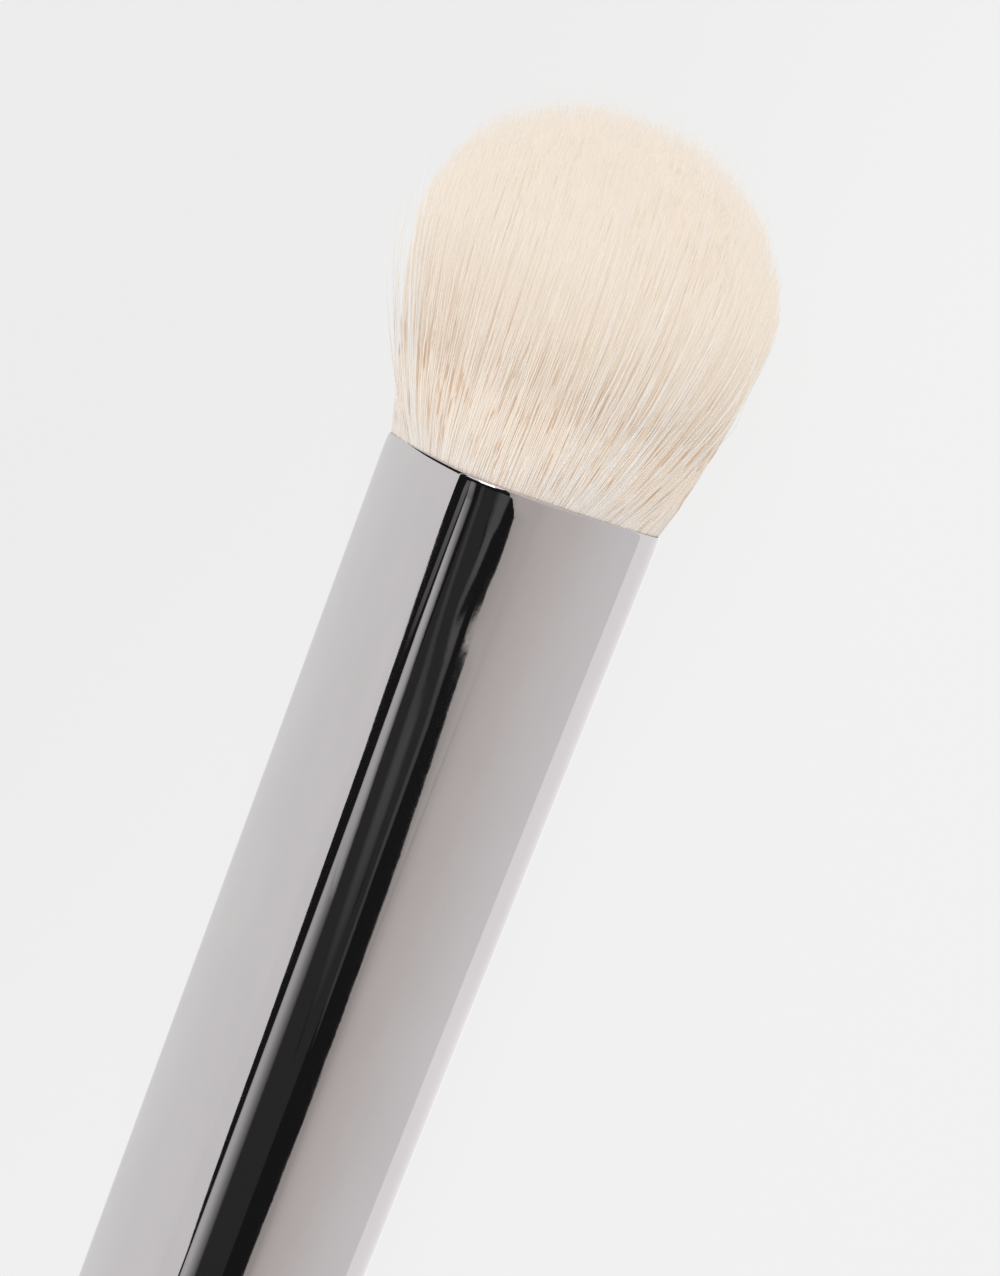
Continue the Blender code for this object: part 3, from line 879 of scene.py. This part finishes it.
def make_fibre(name, root_color, tip_color, glow_tint, tone_change, gap_shade):
    """Cream fibre with a painted glow in place of light coming through it, most at the tips. Low down,
    single fibres carry stretches of painted warm shade of the gaps between fibres, at the rim the
    fibres carry a painted shadow, and the fibres differ in tone less at their tips."""
    material, tools, shader = new_material(name)
    reach = tools.attribute("bristle_reach")
    tone = tools.attribute("bristle_tone")
    color = tools.mix(reach, root_color, tip_color)
    darkest = tools.spread(reach, *TONE_FADE, 1 - tone_change, 1 - tone_change / TIP_EVENNESS)
    color = tools.mix(1.0, color, tools.spread(tone, 0, 1, darkest, 1.0), "MULTIPLY")
    # Painted warm shade of the gaps between fibres: short stretches on single fibres, weaker at the rim and
    # fading out towards the tips
    along = tools.calculate("ADD", tools.spread(reach, 0, 1, 0, GAP_SHADE_STRETCHES),
                            tools.spread(tone, 0, 1, 0, TONE_SPREAD_ALONG))
    across = tools.spread(tone, 0, 1, 0, TONE_SPREAD_ACROSS)
    place = tools.add("ShaderNodeCombineXYZ", {"X": across, "Y": along}).outputs[0]
    gap_shade_patch = tools.spread(tools.noise(place, 1.0, 1.0), *GAP_SHADE_NOISE, 0.0, gap_shade)
    gap_shade_patch = tools.times(gap_shade_patch, tools.spread(reach, *GAP_SHADE_FADE, 1.0, 0.0))
    gap_shade_patch = tools.times(gap_shade_patch, tools.spread(reach, AT_MOUTH, GAP_SHADE_START_END, GAP_SHADE_AT_RIM, 1.0))
    color = tools.mix(gap_shade_patch, color, tools.mix(1.0, color, GAP_SHADE_TINT, "MULTIPLY"))
    # Painted shadow on the bristles just where they leave the mouth
    color = tools.mix(1.0, color, tools.spread(reach, AT_MOUTH, PAINTED_RIM_SHADOW_END, PAINTED_RIM_SHADOW, 1.0), "MULTIPLY")
    # The colour goes to the base colour by the matt share, and to a painted glow in place of light coming
    # through the fibre, rising towards the tips and warmer in the middle
    matt = tools.spread(reach, *MATT_FADE, MATT_AT_ROOT, MATT_AT_TIP)
    through = tools.spread(reach, *GLOW_RISE, GLOW_AT_ROOT, GLOW_AT_TIP)
    warmth = tools.times(tools.spread(reach, AT_MOUTH, WARMTH_RISE_END, WARMTH_AT_RIM, 1.0),
                         tools.spread(reach, *WARMTH_FADE, 1.0, 0.0))
    glow = tools.mix(1.0, color, through, "MULTIPLY")
    glow = tools.mix(1.0, glow, tools.mix(warmth, WHITE, glow_tint), "MULTIPLY")
    tools.fill(shader, {"Base Color": tools.mix(1.0, color, matt, "MULTIPLY"), "Emission Color": glow,
                        "Emission Strength": 1.0, "Roughness": FIBRE_ROUGHNESS,
                        "Specular IOR Level": FIBRE_SHINE})
    return material


def dress_solids(wear):
    """Give the solids inside the handle their materials."""
    for node in ("handle_core", "balance_slug", "slug_pad", "tuft_cup", "root_plug"):
        solid = bpy.data.objects[node]
        solid.data.materials.clear()
        solid.data.materials.append(worn_material(node + "_look", wear))


def camera_floor(tools, x, y):
    """Strength of the floor's glow for the camera: it rises towards the picture's lower right."""
    sine, cosine = math.sin(AXIS_LEAN), math.cos(AXIS_LEAN)
    along = PIXELS_PER_METRE * (sine / FRAME_WIDTH - cosine / FRAME_HEIGHT)
    across = -PIXELS_PER_METRE * (cosine / FRAME_WIDTH + sine / FRAME_HEIGHT)
    past_mouth = tools.calculate("SUBTRACT", x, MOUTH_X)
    corner = tools.calculate("MULTIPLY_ADD", past_mouth, along, sum(MOUTH_IN_PICTURE))
    corner = tools.calculate("MULTIPLY_ADD", y, across, corner)
    return tools.spread(corner, *FLOOR_GLOW_RISE, *FLOOR_GLOW, "SMOOTHSTEP")


def inside(tools, value, low, high):
    """1 where a value lies between two limits, and 0 elsewhere."""
    above = tools.calculate("GREATER_THAN", value, low)
    return tools.times(above, tools.calculate("LESS_THAN", value, high))


def metal_floor(tools, x, y):
    """Strength and colour of the floor for the metal: bright beside the brush, dimmer and warmer
    away from it on the right, and dark just past the mouth on the left."""
    calculate, times = tools.calculate, tools.times
    right = times(y, -1.0)
    on_right = calculate("GREATER_THAN", right, 0.0)
    fade = calculate("POWER", calculate("DIVIDE", FADE_START, calculate("MAXIMUM", right, NEAR_FLOOR)),
                     FADE_POWER)
    aside = calculate("MULTIPLY_ADD", right, DULL_SLANT, x)
    dull = times(tools.spread(aside, *DULL_REACH, 0.0, DULL_LIGHT, "SMOOTHSTEP"),
                 tools.spread(right, *DULL_START, 0.0, 1.0, "SMOOTHSTEP"))
    dim = times(calculate("MULTIPLY_ADD", fade, FADE_LIGHT, FAR_LIGHT), calculate("SUBTRACT", 1.0, dull))
    near = calculate("SUBTRACT", NEAR_FLOOR, calculate("MINIMUM", calculate("ABSOLUTE", right), NEAR_FLOOR))
    near_light = calculate("MULTIPLY_ADD", times(near, near), NEAR_FLOOR_GAIN, 1.0)
    right_light = tools.between(dim, near_light, calculate("LESS_THAN", right, NEAR_FLOOR))
    past_mouth = times(inside(tools, x, *PAST_MOUTH), inside(tools, y, *BESIDE_MOUTH))
    left_light = tools.between(LEFT_FLOOR_LIGHT, PAST_MOUTH_LIGHT, past_mouth)
    strength = tools.between(left_light, right_light, on_right)
    warmth = times(tools.spread(right, *WARM_FLOOR_START, 0.0, 1.0, "SMOOTHSTEP"), on_right)
    return strength, tools.mix(warmth, WHITE, WARM_FLOOR_COLOR)


def add_floor():
    """Pale floor with a faint shadow, lit one way for the camera and another for the metal."""
    deselect_all()
    bpy.ops.mesh.primitive_plane_add(size=FLOOR_SIZE, location=(0, 0, 0))
    floor = bpy.context.active_object
    floor.name = "floor"
    for vertex in floor.data.vertices:
        vertex.co.z = -FLOOR_DROP
    material = bpy.data.materials.new("pale_floor")
    tools = bare_nodes(material)
    place = tools.split(tools.add("ShaderNodeTexCoord").outputs["Object"])
    matt = tools.add("ShaderNodeBsdfDiffuse", {"Color": FLOOR_COLOR}).outputs[0]
    glow = tools.light("ShaderNodeEmission", WHITE, camera_floor(tools, place["X"], place["Y"]))
    seen = tools.join(FLOOR_SHADOW_SHARE, glow, matt)
    strength, color = metal_floor(tools, place["X"], place["Y"])
    mirrored = tools.light("ShaderNodeEmission", color, strength)
    tools.add("ShaderNodeOutputMaterial", {"Surface": tools.seen_by(seen, mirrored, matt)})
    floor.data.materials.append(material)


def glow_material(name, color):
    """Plain light whose strength comes from the card's own glow values."""
    material = bpy.data.materials.new(name)
    tools = bare_nodes(material)
    glow = tools.light("ShaderNodeEmission", color, tools.attribute("glow"))
    tools.add("ShaderNodeOutputMaterial", {"Surface": glow})
    material.cycles.emission_sampling = "NONE"
    return material


def finish_card(card, name, glow, color=WHITE):
    """Light a card by its vertices' glow and show it to the metal alone."""
    card.name = name
    mark_vertices(card.data, "glow", glow)
    card.data.materials.append(glow_material(name, color))
    card.visible_camera = False
    card.visible_diffuse = False
    card.visible_shadow = False


def add_card(name, corners, strength):
    """A flat card of even light through the given corners, in metres."""
    deselect_all()
    bpy.ops.mesh.primitive_circle_add(vertices=len(corners), radius=1, fill_type="NGON")
    card = bpy.context.active_object
    for vertex, corner in zip(card.data.vertices, corners):
        vertex.co = corner
    finish_card(card, name, [strength] * len(corners))


def add_strip(name, rows, profile, color=WHITE):
    """A strip light: each row gives its two ends, in millimetres, and its glow.

    The profile lists (share across, share of the glow). Ends with no height given are at the
    reflectors' height.
    """
    deselect_all()
    bpy.ops.mesh.primitive_grid_add(x_subdivisions=len(profile) - 1, y_subdivisions=len(rows) - 1, size=1)
    strip = bpy.context.active_object
    glow = []
    for *ends, strength in rows:
        half = len(ends) // 2
        for across, share in profile:
            point = [(a + (b - a) * across) / 1000 for a, b in zip(ends[:half], ends[half:])]
            strip.data.vertices[len(glow)].co = point if len(point) == 3 else (*point, REFLECTOR_HEIGHT)
            glow.append(strength * share)
    finish_card(strip, name, glow, color)


def over(*spots, rise=0.0):
    """Corners at the reflectors' height or just over it, from (x, y) in millimetres."""
    return [(x / 1000, y / 1000, REFLECTOR_HEIGHT + rise) for x, y in spots]


def add_left_cards():
    """White card and wall that the left face mirrors up to the dark band."""
    add_card("left_card", over(
        (-43.5, 170), (-43, 213), (-41, 251), (-37, 291), (-36, 358), (-36, 442), (-39, 562), (-49, 700),
        (-56, 800), (-74, 1050), (-119, 1540), (-197, 2430), (-340, 3900), (-4000, 3900), (-4000, 170)),
        CARD_LIGHT)
    add_card("left_wall", [
        (-4, 3.9, -0.1), (-4, 3.9, 0.31), (-0.34, 3.9, 0.31), (-0.332, 3.9, 0.279), (-0.318, 3.9, 0.053),
        (-0.307, 3.9, 0.0), (-0.307, 3.9, -0.1)], CARD_LIGHT)


def add_right_wall():
    """Warm wall far on the right. Its uneven top is the band's wavy right edge."""
    dim_parts = (
        (-266, -1, 0.78), (-243, 18, 0.80), (-219, 43, 0.84), (-196.5, 84, 0.92), (-182.5, 111, 0.98))
    parts = (
        (-176, -176, 127), (-171, -172, 140), (-167, -168, 155), (-165, -166, 177), (-163.5, -169, 376),
        (-162.5, -180, 650), (-160.5, -168.5, 408), (-157, -158, 208), (-152, -153, 232), (-149, -149, 205),
        (-144, -144, 205), (-137, -137, 222), (-133, -133, 230), (-126, -126, 245), (-113, -113, 265),
        (-93, -93, 345), (-80, -80, 400), (-60, -60, 560), (74, 74, 1400), (4000, 4000, 1400))
    rows = [(x, -2000, -2, x, -2000, top, glow) for x, top, glow in dim_parts]
    rows += [(low_x, -2000, -2, high_x, -2000, top, 1.0) for low_x, high_x, top in parts]
    add_strip("right_wall", rows, [(0, 0.55), (0.25, 0.54), (0.6, 0.48), (1, 0.45)], WARM_WALL_COLOR)


def add_left_streak():
    """Strip lights of the band's bright left streak and of the dim one outside it."""
    add_strip("left_strip", [
        (64, 225, 64, 300, 0.1), (56, 195, 56, 345, 0.26), (34, 172, 34, 335, 0.26),
        (20, 155, 20, 315, 0.2), (13, 138, 13, 306, 0.31), (8, 112, 8, 302, 0.49), (5, 87, 5, 295, 0.56),
        (0, 58, 0, 273, 0.54), (-3, 34, -3, 240, 0.52), (-9, 0, -9, 200, 0.47)],
        [(0, 0.16), (0.1, 0.48), (0.3, 0.84), (0.65, 1.0), (0.93, 0.95), (1, 0.2)])
    add_strip("far_left_strip", [
        (-9, -8, -9, 200, 0.47), (-15, -26, -15, 181, 0.48), (-22, -38, -22, 166, 0.47),
        (-29, -47, -29, 157, 0.5), (-36, -58, -36, 150, 0.54), (-60, -64, -60, 138, 0.54),
        (-400, -64, -400, 138, 0.54)],
        [(0, 0.05), (0.12, 0.25), (0.3, 0.46), (0.5, 0.74), (0.65, 0.95), (0.8, 1.0), (0.93, 0.95),
         (1, 0.2)])
    add_strip("left_shoulder", [
        (60, 345, 50, 520, 0.1), (30, 335, 14, 560, 0.15), (8, 330, -4, 560, 0.14),
        (2, 335, -12, 550, 0.11), (-4, 340, -19, 540, 0.1), (-8, 345, -24, 530, 0.02)],
        [(0, 0.3), (0.15, 1.0), (0.85, 1.0), (1, 0.2)])


def add_middle_streak():
    """Strip light of the faint line along the band's middle."""
    add_strip("middle_strip", [
        (60, 40, 60, 110, 0.045), (34, 30, 34, 105, 0.05), (20, 18, 20, 90, 0.055),
        (15, -12, 15, 62, 0.06), (11, -55, 11, 22, 0.06), (8, -95, 8, -15, 0.062),
        (-1.5, -210, -1.5, -75, 0.078), (-14, -295, -14, -145, 0.07), (-28, -375, -28, -235, 0.05),
        (-42, -465, -42, -325, 0.032)],
        [(0, 0.4), (0.3, 1.0), (0.7, 1.0), (1, 0.4)])


def add_right_streak():
    """Strip light of the dim streak on the band's right."""
    add_strip("right_strip", [
        (70, -180, 60, -430, 0.03), (60, -120, 48, -520, 0.09), (36, -115, 16, -470, 0.09),
        (18, -135, -1, -450, 0.09), (14, -180, 4, -345, 0.105), (12, -182, 2, -330, 0.095),
        (11, -168, 4, -270, 0.08), (10, -150, 4, -235, 0.075), (6, -188, -9, -420, 0.11),
        (-3, -285, -20, -505, 0.09), (-10, -340, -35, -610, 0.07), (-20, -420, -60, -810, 0.07),
        (-45, -560, -130, -1200, 0.068), (-80, -750, -240, -1900, 0.06), (-125, -1000, -420, -2900, 0.05),
        (-210, -1500, -700, -4400, 0.045)],
        [(0, 0.35), (0.25, 1.0), (0.75, 1.0), (1, 0.3)])


def add_shade_and_tip_cards():
    """Grey card over the strips, dark card low on the right, and the graded card past the tip."""
    add_card("grey_card", over(
        (58, 110), (54, -125), (30, -125), (17, -130), (12, -185), (9, -180), (-3, -285), (-20, -420),
        (-45, -560), (-80, -750), (-125, -1000), (-210, -1500), (-400, -2600), (-700, -4000),
        (-1500, -4000), (-1500, 0), (-60, -62), (-36, -55), (-15, -10), (-9, 15), (0, 90),
        rise=GREY_CARD_RISE), GREY_CARD_LIGHT)
    add_card("low_card", [
        (-0.136, -1.1, -0.01), (-4, -1.1, -0.01), (-4, -1.1, 0.3), (-0.136, -1.1, 0.3)], DARK_LIGHT)
    levels = ((150, 1.6), (270, 1.6), (350, 0.75), (900, 0.45))
    rows = [(600, -250, height, 600, 900, height, glow) for height, glow in levels]
    add_strip("tip_card", rows, [(0, 1.0), (1, 1.0)])


def add_world():
    """Soft light all round, most from above. The metal sees dark surroundings, paler at the rear."""
    world = bpy.data.worlds.new("studio")
    bpy.context.scene.world = world
    tools = bare_nodes(world)
    towards = tools.split(tools.add("ShaderNodeTexCoord").outputs["Generated"])
    strength = tools.calculate("MULTIPLY_ADD", towards["Y"], SOFT_FROM_LEFT, SOFT_LIGHT)
    strength = tools.calculate("MULTIPLY_ADD", towards["Z"], SOFT_FROM_ABOVE, strength)
    behind = tools.spread(towards["X"], *REAR_START, REAR_LIGHT, DARK_LIGHT, "SMOOTHSTEP")
    soft = tools.light("ShaderNodeBackground", WHITE, strength)
    dark = tools.light("ShaderNodeBackground", WHITE, behind)
    backdrop = tools.light("ShaderNodeBackground", BACKDROP_COLOR, 1.0)
    tools.add("ShaderNodeOutputWorld", {"Surface": tools.seen_by(backdrop, dark, soft)})


def add_key_light():
    """Broad soft light from over the tip, on the left."""
    data = bpy.data.lights.new("key_light", "AREA")
    data.shape = "RECTANGLE"
    data.size = KEY_SIZE
    data.size_y = KEY_SIZE
    data.energy = KEY_POWER
    lamp = add_object("key_light", data)
    lamp.location = KEY_PLACE
    aim = Vector(KEY_AIM) - lamp.location
    lamp.rotation_euler = aim.to_track_quat("-Z", "Y").to_euler()
    lamp.visible_camera = False


def add_camera():
    """Camera over the brush's head, with the mouth where the photograph has it."""
    back = Vector((math.tan(CAMERA_TOWARDS_TIP), -math.tan(CAMERA_TOWARDS_RIGHT), 1)).normalized()
    axis = Vector((1, 0, 0))
    axis = (axis - axis.dot(back) * back).normalized()
    across = axis.cross(back)
    up = axis * math.cos(AXIS_LEAN) - across * math.sin(AXIS_LEAN)
    right = across * math.cos(AXIS_LEAN) + axis * math.sin(AXIS_LEAN)
    mouth = Vector((MOUTH_X, 0, BASE_CORNER_RADIUS))
    offset_right = (MOUTH_PIXEL[0] - FRAME_WIDTH / 2) / PIXELS_PER_METRE
    offset_up = (FRAME_HEIGHT / 2 - MOUTH_PIXEL[1]) / PIXELS_PER_METRE
    place = mouth - right * offset_right - up * offset_up + back * CAMERA_DISTANCE
    data = bpy.data.cameras.new("camera")
    data.sensor_width = SENSOR_WIDTH
    data.lens = SENSOR_WIDTH * CAMERA_DISTANCE / (FRAME_HEIGHT / PIXELS_PER_METRE)
    data.clip_start = NEAREST_SEEN
    data.clip_end = FARTHEST_SEEN
    camera = add_object("camera", data)
    camera.matrix_world = Matrix.Translation(place) @ Matrix((right, up, back)).transposed().to_4x4()
    bpy.context.scene.camera = camera


def dress():
    """Build the looks round the solids."""
    bpy.context.scene.view_settings.view_transform = "Standard"
    wear = make_wear_group()
    metal = worn_material("polished_gunmetal", wear)
    resin = worn_material("amber_resin", wear)
    packed = worn_material("packed_fibre", wear)
    fibre = make_fibre("cream_fibre", FIBRE_ROOT_COLOR, FIBRE_TIP_COLOR, WARM_GLOW, tone_change=0.10,
                       gap_shade=0.8)
    # Paler fibre of the loose bristles: partly their own colour, partly a painted highlight
    highlit_pale_fibre = make_fibre("highlit_pale_fibre", PALE_HIGHLIGHT_ROOT_COLOR, PALE_HIGHLIGHT_TIP_COLOR, WHITE, tone_change=0.08,
                            gap_shade=0.0)
    make_shell(metal)
    make_end_cap(metal)
    make_backing(resin)
    make_core(packed)
    make_bristles(fibre)
    make_strays(highlit_pale_fibre)
    dress_solids(wear)
    add_floor()
    add_left_cards()
    add_right_wall()
    add_left_streak()
    add_middle_streak()
    add_right_streak()
    add_shade_and_tip_cards()
    add_world()
    add_key_light()
    add_camera()


dress()
